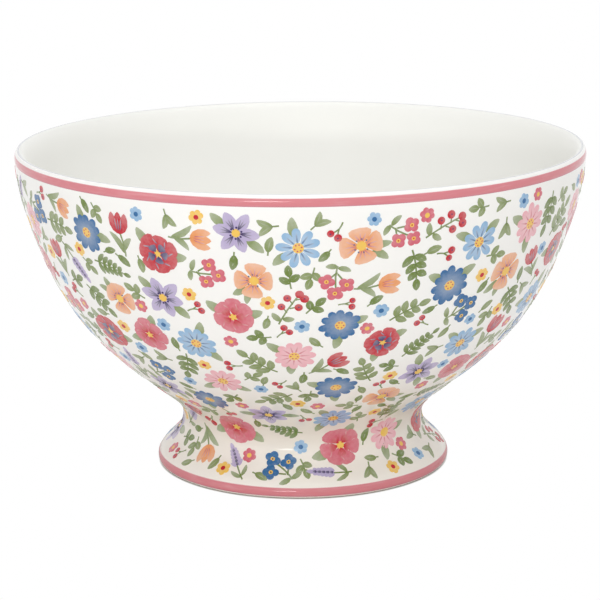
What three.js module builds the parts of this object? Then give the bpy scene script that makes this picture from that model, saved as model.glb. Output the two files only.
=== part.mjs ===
// Footed tea bowl: a clay bowl on a hollow flared foot, joined with slip at the waist and glazed inside and out,
// with one enamel band under the lip and another round the foot.
// Millimetres, +Z up. The origin is on the table, under the bowl's axis.
import * as THREE from 'three';

// Bowl, measured over the glaze
const rimRadius = 75;
const bowlHeight = 86;
const rimWall = 3.6;
const lipReach = 0.9;
const lipDrop = 2.2;
const flankRadius = 68.7;
const flankHeight = 58.6;
const shoulderRadius = 47.5;
const shoulderHeight = 28.7;
const shoulderWall = 4.6;
const floorThickness = 4.5;

// Slope of the wall, in degrees from upright
const flankLean = 21.3;
const shoulderLean = 49.6;

// How far each curve runs on before it bends
const lipPull = 1.5;
const lipTuck = 3.2;
const rimPull = 6.7;
const flankPullUp = 10.5;
const flankPullDown = 10.5;
const shoulderPullUp = 15.4;
const shoulderPullDown = 13.1;
const waistPullUp = 4.9;
const waistPullDown = 5.6;
const footPull = 3.4;
const floorPull = 11;
const floorReach = 22;

// Foot
const waistRadius = 32.25;
const waistHeight = 12.7;
const waistWall = 4.6;
const footRadius = 39.25;
const footEdgeHeight = 1.5;
const ringRadius = 38.4;
const ringWidth = 3;
const hollowPull = 4.5;

// Coats and bands
const slipThickness = 0.4;
const glazeCoat = 0.25;
const enamelCoat = 0.1;
const rimBandDrop = 0.85;
const rimBandWidth = 2.05;
const dryEdge = 0.5;
const footBandGap = 0.15;
const footBandWidth = 2.25;

// Facets
const turns = 40;
const lipSteps = 4;
const wallSteps = 4;
const filletSteps = 5;
const flareSteps = 5;
const edgeSteps = 3;
const floorSteps = 5;
const hollowSteps = 4;
const hairline = 1e-6;

const up = new THREE.Vector2(0, 1);
const right = THREE.MathUtils.degToRad(90);
const flankLeanAngle = THREE.MathUtils.degToRad(flankLean);
const shoulderLeanAngle = THREE.MathUtils.degToRad(shoulderLean);

// Direction up along a wall that leans out by this angle, and the direction square to it, away from the axis
const along = (lean) => new THREE.Vector2(Math.sin(lean), Math.cos(lean));
const outward = (lean) => new THREE.Vector2(Math.cos(lean), -Math.sin(lean));
const moved = (point, direction, distance) => point.clone().addScaledVector(direction, distance);

// Points along a curve of the section, each with the direction that faces out of the clay.
// The clay lies on the right of a curve that runs down the outside.
function sample(curve, steps) {
  const line = [];
  for (let step = 0; step <= steps; step += 1) {
    const tangent = curve.getTangent(step / steps);
    line.push({ point: curve.getPoint(step / steps), normal: new THREE.Vector2(-tangent.y, tangent.x) });
  }
  return line;
}

// One line of several that meet end to end, with each shared point kept once
const joined = (first, ...others) => others.reduce((line, next) => [...line, ...next.slice(1)], first);

// The surface of a coat on a line of clay
const coated = (line, thickness) => line.map(({ point, normal }) => moved(point, normal, thickness));

// A line that falls all the way, with a point added where its glaze crosses a height
function withCut(line, height) {
  const heights = coated(line, glazeCoat).map((point) => point.y);
  const next = heights.findIndex((value) => value < height);
  const share = (heights[next - 1] - height) / (heights[next - 1] - heights[next]);
  const cut = {
    point: line[next - 1].point.clone().lerp(line[next].point, share),
    normal: line[next - 1].normal.clone().lerp(line[next].normal, share),
  };
  return [...line.slice(0, next), cut, ...line.slice(next)];
}

// The stretch of a line between two cuts, counted on its glaze, with the cuts themselves
function between(line, top, bottom) {
  const heights = coated(line, glazeCoat).map((point) => point.y);
  return line.filter((_, step) => heights[step] < top + hairline && heights[step] > bottom - hairline);
}

// A solid of revolution from a closed section of [radius, height] points
function turned(name, section, material) {
  const geometry = new THREE.LatheGeometry(section, turns).rotateX(right);
  const mesh = new THREE.Mesh(geometry, material);
  mesh.name = name;
  return mesh;
}

const closed = (section) => [...section, section[0]];

// A coat between two offsets of one line, as a closed section
function coat(line, inside, outside) {
  return closed([...coated(line, outside), ...coated(line, inside).reverse()].reverse());
}

// Outside of the lip: a quarter of an ellipse from its crest to its widest place
const crestRadius = rimRadius - lipReach;
const outerLip = new THREE.EllipseCurve(
  crestRadius, bowlHeight - lipDrop, lipReach - glazeCoat, lipDrop - glazeCoat, right, 0, true);

// Outer wall of the bowl, from the lip past the flank to the shoulder and in to the waist
const seatHeight = waistHeight + slipThickness / 2;
const footTop = waistHeight - slipThickness / 2;
const clayWaist = waistRadius - glazeCoat;
const clayAt = (radius, height, lean) => moved(new THREE.Vector2(radius, height), outward(lean), -glazeCoat);
const rimPoint = clayAt(rimRadius, bowlHeight - lipDrop, 0);
const flankPoint = clayAt(flankRadius, flankHeight, flankLeanAngle);
const shoulderPoint = clayAt(shoulderRadius, shoulderHeight, shoulderLeanAngle);
const seatPoint = new THREE.Vector2(clayWaist, seatHeight);
const upperWall = new THREE.CubicBezierCurve(
  rimPoint,
  moved(rimPoint, up, -rimPull),
  moved(flankPoint, along(flankLeanAngle), flankPullUp),
  flankPoint);
const lowerWall = new THREE.CubicBezierCurve(
  flankPoint,
  moved(flankPoint, along(flankLeanAngle), -flankPullDown),
  moved(shoulderPoint, along(shoulderLeanAngle), shoulderPullUp),
  shoulderPoint);
const waistFillet = new THREE.CubicBezierCurve(
  shoulderPoint,
  moved(shoulderPoint, along(shoulderLeanAngle), -shoulderPullDown),
  moved(seatPoint, up, waistPullUp),
  seatPoint);

const rimBandTop = bowlHeight - rimBandDrop;
const rimBandBottom = rimBandTop - rimBandWidth;
const wallLine = joined(sample(upperWall, wallSteps), sample(lowerWall, wallSteps));
const bowlLine = [rimBandTop, rimBandBottom].reduce(
  withCut, joined(sample(outerLip, lipSteps), wallLine, sample(waistFillet, filletSteps)));

// Inside: the lip rolls in from its crest to the inner wall, which is the outer wall set in by a thickness that grows
// from the lip to the shoulder, and the wall runs into the rounded floor
const lipClay = rimWall - 2 * glazeCoat;
const innerWallLine = wallLine.map(({ point, normal }, step) => {
  const thickness = THREE.MathUtils.lerp(lipClay, shoulderWall, step / (wallLine.length - 1));
  return { point: moved(point, normal, -thickness), normal: normal.clone().negate() };
}).slice(1);
const crestPoint = new THREE.Vector2(crestRadius, bowlHeight - glazeCoat);
const { point: innerTop, normal: innerTopFacing } = innerWallLine[0];
const innerTopRise = new THREE.Vector2(innerTopFacing.y, -innerTopFacing.x);
const innerLip = new THREE.CubicBezierCurve(
  crestPoint,
  new THREE.Vector2(crestPoint.x - lipPull, crestPoint.y),
  moved(innerTop, innerTopRise, lipTuck),
  innerTop);
const floorStart = innerWallLine.at(-1).point;
const floorCentre = new THREE.Vector2(0, seatHeight + floorThickness);
const floorCurve = new THREE.CubicBezierCurve(
  floorStart,
  moved(floorStart, along(shoulderLeanAngle), -floorPull),
  new THREE.Vector2(floorReach, floorCentre.y),
  floorCentre);
const facingIn = ({ point, normal }) => ({ point, normal: normal.clone().negate() });
const insideLine = joined(
  sample(innerLip, lipSteps).map(facingIn),
  innerWallLine,
  sample(floorCurve, floorSteps).map(facingIn));

// Outside of the foot, from the waist down the flare and round the edge to the ring that it stands on
const footTopPoint = new THREE.Vector2(clayWaist, footTop);
const clayFoot = footRadius - glazeCoat;
const footEdgePoint = new THREE.Vector2(clayFoot, footEdgeHeight);
const footFlare = new THREE.CubicBezierCurve(
  footTopPoint,
  moved(footTopPoint, up, -waistPullDown),
  moved(footEdgePoint, up, footPull),
  footEdgePoint);
const footEdge = new THREE.EllipseCurve(
  ringRadius, footEdgeHeight, clayFoot - ringRadius, footEdgeHeight, 0, -right, true);
const footBandBottom = dryEdge + footBandGap;
const footBandTop = footBandBottom + footBandWidth;
const footLine = [footBandTop, footBandBottom, dryEdge].reduce(
  withCut, joined(sample(footFlare, flareSteps), sample(footEdge, edgeSteps)));

// Hollow of the foot, from the ceiling under the bowl's floor down to the inside of the ring
const hollowRadius = waistRadius - waistWall;
const hollowTopPoint = new THREE.Vector2(hollowRadius, footTop);
const ringInnerPoint = new THREE.Vector2(ringRadius - ringWidth, 0);
const hollowCurve = new THREE.CubicBezierCurve(
  hollowTopPoint,
  moved(hollowTopPoint, up, -hollowPull),
  moved(ringInnerPoint, up, hollowPull),
  ringInnerPoint);
const hollowLine = withCut(sample(hollowCurve, hollowSteps).map(facingIn), dryEdge);
const ceilingLine = [
  { point: new THREE.Vector2(0, seatHeight), normal: new THREE.Vector2(0, -1) },
  { point: new THREE.Vector2(hollowRadius, seatHeight), normal: new THREE.Vector2(-1, -1) },
];

// Coats that cross from one clay piece to the next
const outsideLine = [...bowlLine, ...footLine];
const glazedOutside = between(outsideLine, bowlHeight, dryEdge);
const glazedUnderside = [...ceilingLine, ...between(hollowLine, footTop, dryEdge)];

// Finishes
const clay = () => new THREE.MeshStandardMaterial({ color: 0xefe8da, roughness: 0.85, metalness: 0 });
const slip = () => new THREE.MeshStandardMaterial({ color: 0xe6ddcc, roughness: 0.9, metalness: 0 });
const glaze = () => new THREE.MeshStandardMaterial({ color: 0xfaf9f5, roughness: 0.12, metalness: 0 });
const enamel = () => new THREE.MeshStandardMaterial({ color: 0xdc8b93, roughness: 0.2, metalness: 0 });

const points = (line) => line.map(({ point }) => point);

// Clay bowl: the outside from the crest of the lip to the seat, across the seat to the axis, and back up the inside
function bowlBody() {
  const seatCentre = new THREE.Vector2(0, seatHeight);
  const section = [...points(insideLine).reverse(), ...points(bowlLine).slice(1), seatCentre];
  return turned('bowl_body', section.reverse(), clay());
}

// Clay foot: down the outside, across the ring and back up the hollow
function pedestalFoot() {
  const section = [...points(footLine), ...points(hollowLine).reverse()];
  return turned('pedestal_foot', closed(section.reverse()), clay());
}

// Slip: a thin washer between the foot's top and the bowl's seat
function slipJoint() {
  const section = [
    new THREE.Vector2(hollowRadius, footTop),
    new THREE.Vector2(clayWaist, footTop),
    new THREE.Vector2(clayWaist, seatHeight),
    new THREE.Vector2(hollowRadius, seatHeight),
  ];
  return turned('slip_joint', closed(section), slip());
}

function innerGlaze() {
  const section = [...points(insideLine).reverse(), ...coated(insideLine, glazeCoat)];
  return turned('inner_glaze', section, glaze());
}

function outerGlaze() {
  return turned('outer_glaze', coat(glazedOutside, 0, glazeCoat), glaze());
}

function undersideGlaze() {
  const section = [...points(glazedUnderside), ...coated(glazedUnderside, glazeCoat).reverse()];
  return turned('underside_glaze', section.reverse(), glaze());
}

function enamelBand(name, line, top, bottom) {
  const section = coat(between(line, top, bottom), glazeCoat, glazeCoat + enamelCoat);
  return turned(name, section, enamel());
}

const bowl = new THREE.Group();
bowl.add(
  bowlBody(),
  pedestalFoot(),
  slipJoint(),
  innerGlaze(),
  outerGlaze(),
  undersideGlaze(),
  enamelBand('rim_band', bowlLine, rimBandTop, rimBandBottom),
  enamelBand('foot_band', footLine, footBandTop, footBandBottom),
);

export default bowl;
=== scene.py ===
import math
import random
from bisect import bisect_right
from collections import namedtuple
from itertools import product

import bmesh
import bpy
import numpy as np
from bpy.props import FloatProperty, FloatVectorProperty, IntProperty, PointerProperty
from mathutils import Color, Matrix, Vector
from mathutils.geometry import interpolate_bezier


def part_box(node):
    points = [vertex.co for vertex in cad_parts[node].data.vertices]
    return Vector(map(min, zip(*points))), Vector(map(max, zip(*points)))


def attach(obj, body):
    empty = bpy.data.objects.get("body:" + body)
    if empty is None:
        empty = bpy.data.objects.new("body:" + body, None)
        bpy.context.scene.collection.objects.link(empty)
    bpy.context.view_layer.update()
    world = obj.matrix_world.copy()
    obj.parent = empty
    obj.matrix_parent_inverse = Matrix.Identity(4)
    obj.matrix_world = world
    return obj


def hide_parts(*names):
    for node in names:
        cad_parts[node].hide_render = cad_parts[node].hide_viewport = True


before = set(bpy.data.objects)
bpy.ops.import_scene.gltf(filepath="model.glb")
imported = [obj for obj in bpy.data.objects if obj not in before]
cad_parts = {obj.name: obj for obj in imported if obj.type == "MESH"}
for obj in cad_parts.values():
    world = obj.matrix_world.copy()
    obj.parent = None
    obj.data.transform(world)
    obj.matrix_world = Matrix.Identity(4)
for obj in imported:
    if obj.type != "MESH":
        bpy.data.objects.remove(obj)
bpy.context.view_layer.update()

bl_info = {
    "name": "Footed Tea Bowl",
    "version": (1, 0, 0),
    "blender": (4, 5, 0),
    "location": "3D View > Sidebar > Tea Bowl",
    "description": "Builds a glazed tea bowl on a flared foot, with enamel lines and a flower print",
    "category": "Add Mesh",
}

BODY = "root"
MM = 0.001
FULL_TURN = math.tau

# Angle of the bowl's back, where the flat maps have their seam
BACK = math.pi / 2

# Two points that are nearer than this are one
HAIRLINE = 1e-7

# Sizes that the frame gives
outside_low, outside_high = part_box("outer_glaze")
slip_low, slip_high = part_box("slip_joint")
inside_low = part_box("inner_glaze")[0]
foot_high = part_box("pedestal_foot")[1]


def size(name, description, default):
    return FloatProperty(
        name=name, description=description, default=default, min=0.0, precision=5, unit="LENGTH")


def lean(name, description, degrees):
    return FloatProperty(name=name, description=description, default=math.radians(degrees), subtype="ANGLE")


def power(name, description, watts):
    return FloatProperty(name=name, description=description, default=watts, min=0.0, unit="POWER")


def linear(code):
    """Linear colour from a web colour."""
    shares = [int(code[start:start + 2], 16) / 255 for start in (0, 2, 4)]
    return tuple(Color(shares).from_srgb_to_scene_linear())


def tint(name, description, code):
    return FloatVectorProperty(
        name=name, description=description, default=linear(code), size=3, min=0.0, max=1.0, subtype="COLOR")


class TeaBowlShape(bpy.types.PropertyGroup):
    """Section of the bowl and its coats."""

    bowl_height: size("Height", "From the table to the crest of the lip", outside_high.z)
    rim_radius: size("Rim radius", "From the axis to the outside of the lip", outside_high.x)
    rim_wall: size("Lip", "Thickness of the glazed lip", 0.0036)
    rim_pull: size("Rim pull", "How far the wall runs upright below the lip", 0.0067)
    lip_reach: size("Lip reach", "From the crest of the lip out to its widest place", 0.0009)
    lip_drop: size("Lip drop", "From the crest of the lip down to its widest place", 0.0022)
    lip_pull: size("Lip pull", "How far the lip runs level inside its crest", 0.0015)
    lip_tuck: size("Lip tuck", "How far the inner wall runs straight up into the lip", 0.0032)
    flank_radius: size("Flank radius", "Radius of the wall half way up", 0.0687)
    flank_height: size("Flank height", "Height of that place", 0.0586)
    flank_lean: lean("Flank lean", "Slope of the wall there, from upright", 21.3)
    flank_pull_up: size("Flank pull up", "How far the wall runs straight above the flank", 0.0105)
    flank_pull_down: size("Flank pull down", "How far the wall runs straight below it", 0.0105)
    shoulder_radius: size("Shoulder radius", "Radius of the wall where it turns in", 0.0475)
    shoulder_height: size("Shoulder height", "Height at which the wall turns in", 0.0287)
    shoulder_lean: lean("Shoulder lean", "Slope of the wall at the shoulder, from upright", 49.6)
    shoulder_wall: size("Shoulder wall", "Thickness of the clay at the shoulder", 0.0046)
    shoulder_pull_up: size("Shoulder pull up", "How far the wall runs straight above the shoulder", 0.0154)
    shoulder_pull_down: size("Shoulder pull down", "How far the wall runs straight below it", 0.0131)
    waist_pull_up: size("Waist pull up", "How far the waist runs upright above the joint", 0.0049)
    waist_pull_down: size("Waist pull down", "How far the waist runs upright below the joint", 0.0056)
    clay_waist: size("Waist radius", "Radius of the clay at the joint", slip_high.x)
    seat_height: size("Seat height", "Height of the flat seat under the bowl", slip_high.z)
    foot_top: size("Foot top", "Height of the top of the foot", slip_low.z)
    clay_foot: size("Foot radius", "Radius of the clay at the foot's edge", foot_high.x)
    foot_edge: size("Foot edge", "Height at which the foot is widest", 0.0015)
    foot_pull: size("Foot pull", "How far the foot's edge runs upright", 0.0034)
    ring_radius: size("Ring radius", "Outer radius of the flat that the foot stands on", 0.0384)
    ring_width: size("Ring width", "Width of that flat", 0.003)
    hollow_radius: size("Hollow radius", "Radius of the hollow under the bowl", 0.02765)
    hollow_pull: size("Hollow pull", "How far the hollow's wall runs upright at each end", 0.0045)
    floor_height: size("Floor height", "Height of the clay in the middle of the bowl", inside_low.z)
    floor_pull: size("Floor pull", "How far the wall runs straight into the floor", 0.011)
    floor_reach: size("Floor reach", "Radius at which the floor is nearly flat", 0.022)
    glaze_coat: size("Glaze coat", "Thickness of the glaze", 0.00025)
    dry_edge: size("Dry edge", "Height of the bare clay over the ring", outside_low.z)


class TeaBowlBands(bpy.types.PropertyGroup):
    """The two enamel lines."""

    rim_top: size("Rim line top", "Height of the upper edge of the line under the lip", 0.08515)
    rim_bottom: size("Rim line bottom", "Height of the lower edge of that line", 0.0831)
    foot_top: size("Foot line top", "Height of the upper edge of the line round the foot", 0.0029)
    foot_bottom: size("Foot line bottom", "Height of the lower edge of that line", 0.00065)
    crown: size("Crown", "Thickness of the enamel along the middle of a line", 0.0001)
    enamel: tint("Enamel", "Colour of both lines", "d78088")
    # Painted shade: a darker colour along the lower edge of each line, where it turns down away from the
    # light
    enamel_edge: tint(
        "Enamel edge", "Colour along the lower edge of a line, where the enamel pools", "b57f92")


class TeaBowlGlaze(bpy.types.PropertyGroup):
    """Colours of the clay and the glaze."""

    white: tint("Glaze", "Colour of the glaze where the coat is even", "f9f9f7")
    cream: tint("Low glaze", "Colour of the glaze on the lower wall and the foot", "f6efe4")
    # Painted shade: a darker tint in the waist, under the bowl, where less light falls
    waist_shade: tint("Pooled glaze", "Colour of the glaze where it is thick, in the waist", "dccfbf")
    # Painted shade: the same glaze as outside in a darker tint, for the less light that falls into the bowl
    inside: tint("Inside glaze", "Colour of the glaze in the bowl", "f4f4f0")
    # Painted reflection: a grey line along the crest of the lip, in place of the grey backdrop mirrored
    # there
    painted_crest_reflection: tint("Lip line", "Colour of the thin line along the crest of the lip", "d6d8dc")
    clay: tint("Clay", "Colour of the fired clay", "f4efe6")
    clay_dark: tint("Clay grain", "Colour of the grains in the clay", "dfd4c0")
    slip: tint("Slip", "Colour of the slip in the joint", "e6ddcc")
    # Grey patches of wear on the ring, and a painted contact shadow along its outer edge where the foot
    # meets the table
    wear_and_contact_shadow: tint("Worn ring", "Colour of the bare ring where the table has rubbed it grey", "8f8986")


class TeaBowlPrint(bpy.types.PropertyGroup):
    """The flower print."""

    seed: IntProperty(name="Seed", description="Number that settles the scatter of the flowers", default=7)
    gap: size("Gap", "Smallest distance between two motifs", 0.00025)
    margin: size("Margin", "Bare glaze between the print and the enamel lines", 0.0009)
    film: size("Film", "Height of the lowest ink over the glaze", 0.00003)
    step: size("Step", "Height of each further ink over the one before", 0.000009)
    leaf: tint("Leaf green", "Ink of the leaves", "85955a")
    moss: tint("Moss green", "Ink of stalks and veins", "6c8236")
    sky: tint("Sky blue", "Ink of pale blue petals", "90b7da")
    blush: tint("Blush", "Ink of pale pink petals", "eeb1bb")
    lilac: tint("Lilac", "Ink of pale violet petals", "b9abd0")
    peach: tint("Peach", "Ink of orange petals", "ea9a5c")
    rose: tint("Rose", "Ink of pink petals", "d36374")
    blue: tint("Blue", "Ink of blue petals", "2d699f")
    yellow: tint("Yellow", "Ink of the flowers' eyes", "f2c55a")
    red: tint("Red", "Ink of red petals and berries", "c30f29")
    violet: tint("Violet", "Ink of violet petals and seeds", "44336a")


class TeaBowlStage(bpy.types.PropertyGroup):
    """Floor, light and camera."""

    floor_size: size("Floor", "Side of the floor", 6.0)
    floor: tint("Floor colour", "Colour of the floor", "ebe9e6")
    shadow_reach: size("Shadow reach", "Radius to which the floor shows the bowl's shadow", 0.0394)
    mirror_reach: size("Mirror reach", "Radius to which the glaze mirrors the shade on the floor", 0.11)
    ambient: FloatProperty(name="Ambient", description="Strength of the light from all sides", default=0.6)
    overhead_power: power("Overhead", "Power of the large lamp overhead", 4.2)
    front_power: power("Front", "Power of the strip lamp in front", 2.2)
    low_power: power("Low", "Power of the low lamp in front", 1.4)
    left_power: power("Left", "Power of the lamp at the left", 0.9)
    fill_power: power("Fill", "Power of the high lamp in front", 4.8)
    back_power: power("Back", "Power of the lamp behind", 7.0)
    camera_back: size("Camera distance", "From the bowl's axis back to the camera", 0.5875)
    camera_height: size("Camera height", "From the table up to the camera", 0.1831)
    aim_side: FloatProperty(
        name="Aim side", description="Sideways offset of the point looked at",
        default=-0.00044, precision=5, unit="LENGTH")
    aim_height: size("Aim height", "Height of the point looked at", 0.04315)
    roll: lean("Roll", "Tilt of the camera", -0.536)
    lens: FloatProperty(name="Lens", description="Focal length in millimetres", default=134.9)


# Smoothness of the turned pieces
TURN_STEPS = 144
CLAY_STEPS = 96
LIP_STEPS = 16
WALL_STEPS = 20
WAIST_STEPS = 20
FLARE_STEPS = 20
EDGE_STEPS = 10
FLOOR_STEPS = 26
HOLLOW_STEPS = 12
BAND_STEPS = 10
CREASE = math.radians(40)

# Step down the wall at which the inside of the lip joins it
LIP_JOIN = WALL_STEPS // 4


# Lines of the section, as points at [radius, 0, height]
def up_wall(angle):
    """Direction up a wall that leans out by this angle."""
    return Vector((math.sin(angle), 0.0, math.cos(angle)))


def off_wall(angle):
    """Direction square to such a wall, away from the axis."""
    return Vector((math.cos(angle), 0.0, -math.sin(angle)))


def at(radius, height):
    return Vector((radius, 0.0, height))


def arc(centre, reach, rise, start, end, steps):
    line = []
    for step in range(steps + 1):
        angle = start + (end - start) * step / steps
        line.append(centre + at(reach * math.cos(angle), rise * math.sin(angle)))
    return line


def curve(start, start_handle, end_handle, end, steps):
    return interpolate_bezier(start, start_handle, end_handle, end, steps + 1)


def facing(points):
    """Direction that each point of a line faces: square to the line, on its left as it runs."""
    ways = []
    for before, after in zip(points[:1] + points[:-1], points[1:] + points[-1:]):
        run = (after - before).normalized()
        ways.append(Vector((-run.z, 0.0, run.x)))
    return ways


class Section:
    """A line of the bowl's section that can be coated, cut at a height and measured along."""

    def __init__(self, points):
        self.points = points
        self.ways = facing(points)
        self.lengths = [0.0]
        for before, after in zip(points, points[1:]):
            self.lengths.append(self.lengths[-1] + (after - before).length)

    def coated(self, thickness, start=0, end=None):
        """Points of a coat's face over the stretch between two points of the line."""
        stretch = slice(start, None if end is None else end + 1)
        face = []
        for point, way in zip(self.points[stretch], self.ways[stretch]):
            moved = point + way * thickness
            if point.x < HAIRLINE:
                moved.x = 0.0
            face.append(moved)
        return face

    def at_length(self, length):
        """Point of the line at a length along it, with the direction that it faces."""
        step = min(max(bisect_right(self.lengths, length), 1), len(self.points) - 1)
        share = (length - self.lengths[step - 1]) / (self.lengths[step] - self.lengths[step - 1])
        point = self.points[step - 1].lerp(self.points[step], share)
        return point, self.ways[step - 1].lerp(self.ways[step], share).normalized()

    def length_at(self, height):
        """Length along a falling line at which it crosses a height."""
        for step, (before, after) in enumerate(zip(self.points, self.points[1:])):
            if before.z >= height > after.z:
                share = (before.z - height) / (before.z - after.z)
                return self.lengths[step] + share * (self.lengths[step + 1] - self.lengths[step])
        raise ValueError("the line does not cross that height")


class BowlSection(Section):
    """The clay's whole section in one line: from the middle of the floor up the inside, over the lip, down
    the outside and the foot, across the ring and up the hollow to the axis. Marks name the points where
    pieces and coats end."""

    def __init__(self, shape):
        self.marks = {}
        points = []
        for stretch, end in self.stretches(shape):
            first = 1 if points and (points[-1] - stretch[0]).length < HAIRLINE else 0
            points += stretch[first:]
            self.marks[end] = len(points) - 1
        super().__init__(points)

    @staticmethod
    def stretches(shape):
        """Stretches of the line in order, each with the name of the place where it ends."""
        coat = shape.glaze_coat
        crest = at(shape.rim_radius - shape.lip_reach, shape.bowl_height - coat)
        rim = at(shape.rim_radius - coat, shape.bowl_height - shape.lip_drop)
        lip = arc(at(crest.x, rim.z), rim.x - crest.x, crest.z - rim.z, math.pi / 2, 0.0, LIP_STEPS)
        flank = at(shape.flank_radius, shape.flank_height) - off_wall(shape.flank_lean) * coat
        flank_slope = up_wall(shape.flank_lean)
        shoulder = at(shape.shoulder_radius, shape.shoulder_height) - off_wall(shape.shoulder_lean) * coat
        slope = up_wall(shape.shoulder_lean)
        seat = at(shape.clay_waist, shape.seat_height)
        wall = curve(
            rim, rim - at(0, shape.rim_pull), flank + flank_slope * shape.flank_pull_up, flank, WALL_STEPS)
        wall += curve(
            flank, flank - flank_slope * shape.flank_pull_down,
            shoulder + slope * shape.shoulder_pull_up, shoulder, WALL_STEPS)[1:]
        waist = curve(
            shoulder, shoulder - slope * shape.shoulder_pull_down,
            seat + at(0, shape.waist_pull_up), seat, WAIST_STEPS)

        lip_clay = shape.rim_wall - 2 * coat
        inner_wall = []
        for step, (point, way) in enumerate(zip(wall, facing(wall))):
            share = step / (2 * WALL_STEPS)
            inner_wall.append(point - way * (lip_clay * (1 - share) + shape.shoulder_wall * share))
        inner_wall = inner_wall[LIP_JOIN:]
        inner_rise = (inner_wall[0] - inner_wall[1]).normalized()
        roll = curve(
            crest, crest - at(shape.lip_pull, 0),
            inner_wall[0] + inner_rise * shape.lip_tuck, inner_wall[0], 2 * LIP_STEPS)
        floor = curve(
            inner_wall[-1], inner_wall[-1] - slope * shape.floor_pull,
            at(shape.floor_reach, shape.floor_height), at(0, shape.floor_height), FLOOR_STEPS)

        foot_top = at(shape.clay_waist, shape.foot_top)
        foot_edge = at(shape.clay_foot, shape.foot_edge)
        flare = curve(
            foot_top, foot_top - at(0, shape.waist_pull_down),
            foot_edge + at(0, shape.foot_pull), foot_edge, FLARE_STEPS)
        edge = arc(
            at(shape.ring_radius, shape.foot_edge), shape.clay_foot - shape.ring_radius, shape.foot_edge,
            0.0, -math.pi / 2, EDGE_STEPS)
        ring_inner = at(shape.ring_radius - shape.ring_width, 0)
        hollow_top = at(shape.hollow_radius, shape.foot_top)
        hollow = curve(
            ring_inner, ring_inner + at(0, shape.hollow_pull),
            hollow_top - at(0, shape.hollow_pull), hollow_top, HOLLOW_STEPS)
        ceiling = [at(shape.hollow_radius, shape.seat_height), at(0, shape.seat_height)]

        return [
            (floor[::-1], "floor_edge"),
            (inner_wall[::-1], "inner_lip"),
            (roll[::-1], "crest"),
            (lip, "outer_lip"),
            (wall, "shoulder"),
            (waist, "seat"),
            (flare[:1], "foot_top"),
            (flare, "foot_edge"),
            (edge, "ring_outer"),
            ([ring_inner], "ring_inner"),
            (hollow, "hollow_top"),
            (ceiling, "ceiling"),
        ]

    def dry_marks(self, height):
        """Points where the glaze stops over the ring, outside and in the hollow."""

        def wet(start, end):
            steps = range(self.marks[start], self.marks[end])
            return [step for step in steps if self.points[step].z >= height]

        return wet("crest", "ring_outer")[-1], wet("ring_inner", "hollow_top")[0]


# Turned pieces
def unrolled(data):
    """Gives a turned mesh a flat map for baking: round the axis one way and along the section the other."""
    places = np.empty((len(data.vertices), 3), np.float32)
    data.vertices.foreach_get("co", places.ravel())
    rows = np.empty(len(data.vertices), np.float32)
    data.attributes["along"].data.foreach_get("value", rows)
    corners = np.empty(len(data.loops), np.int32)
    data.loops.foreach_get("vertex_index", corners)
    starts = np.empty(len(data.polygons), np.int32)
    data.polygons.foreach_get("loop_start", starts)
    counts = np.diff(np.append(starts, len(corners)))

    def per_corner(joined, values):
        return np.repeat(joined.reduceat(values, starts), counts)

    x, y = places[corners, 0], places[corners, 1]
    turn = (np.arctan2(y, x) - BACK) % FULL_TURN / FULL_TURN
    on_axis = np.hypot(x, y) < HAIRLINE
    low = per_corner(np.minimum, np.where(on_axis, 1, turn))
    high = per_corner(np.maximum, np.where(on_axis, 0, turn))
    turn = np.where((high - low > 0.5) & (turn < 0.5), turn + 1, turn)
    known = per_corner(np.add, np.where(on_axis, 0, turn)) / per_corner(np.add, 1 - on_axis)
    row = rows[corners]
    wraps = per_corner(np.maximum, row) - per_corner(np.minimum, row) > 0.5
    flat = np.stack((np.where(on_axis, known, turn), np.where(wraps & (row < 0.5), row + 1, row)), 1)
    data.uv_layers.new(name="OFBake").data.foreach_set("uv", flat.astype(np.float32).ravel())


def turned(section, closed, steps=TURN_STEPS):
    """Mesh turned from a closed line, or from one that starts and ends on the axis."""
    mesh = bmesh.new()
    along = mesh.verts.layers.float.new("along")
    corners = [mesh.verts.new(point) for point in section]
    pairs = list(zip(corners, corners[1:]))
    if closed:
        pairs.append((corners[-1], corners[0]))
    total = sum((after.co - before.co).length for before, after in pairs)
    run = 0.0
    for before, after in pairs:
        before[along] = run / total
        run += (after.co - before.co).length
    if not closed:
        corners[-1][along] = 1.0
    edges = [mesh.edges.new(pair) for pair in pairs]
    bmesh.ops.spin(
        mesh, geom=corners + edges, cent=(0, 0, 0), axis=(0, 0, 1),
        angle=FULL_TURN, steps=steps, use_merge=True)
    bmesh.ops.remove_doubles(mesh, verts=mesh.verts, dist=HAIRLINE)
    bmesh.ops.recalc_face_normals(mesh, faces=mesh.faces)
    data = bpy.data.meshes.new("turned")
    mesh.to_mesh(data)
    mesh.free()
    unrolled(data)
    return data


def add_piece(name, data, finish, slot, *nodes):
    """Puts a piece in the scene with its finish and ties it to the frame."""
    data.name = name
    data.shade_smooth()
    data.set_sharp_from_angle(angle=CREASE)
    data.materials.append(finish)
    piece = bpy.data.objects.new(name, data)
    bpy.context.collection.objects.link(piece)
    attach(piece, BODY)
    if nodes:
        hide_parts(*nodes)


# Shader nodes, and the detail of a smooth noise and of a rugged one
SMOOTH = 2.0
RUGGED = 3.0


class Wire:
    """An output of a shader node. Arithmetic with it adds Math nodes."""

    def __init__(self, shader, socket):
        self.shader = shader
        self.socket = socket

    def math(self, operation, first, second):
        return self.shader.node("ShaderNodeMath", {"operation": operation}, {0: first, 1: second})

    def __add__(self, other):
        return self.math("ADD", self, other)

    def __radd__(self, other):
        return self.math("ADD", other, self)

    def __sub__(self, other):
        return self.math("SUBTRACT", self, other)

    def __rsub__(self, other):
        return self.math("SUBTRACT", other, self)

    def __mul__(self, other):
        return self.math("MULTIPLY", self, other)

    def __rmul__(self, other):
        return self.math("MULTIPLY", other, self)


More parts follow.
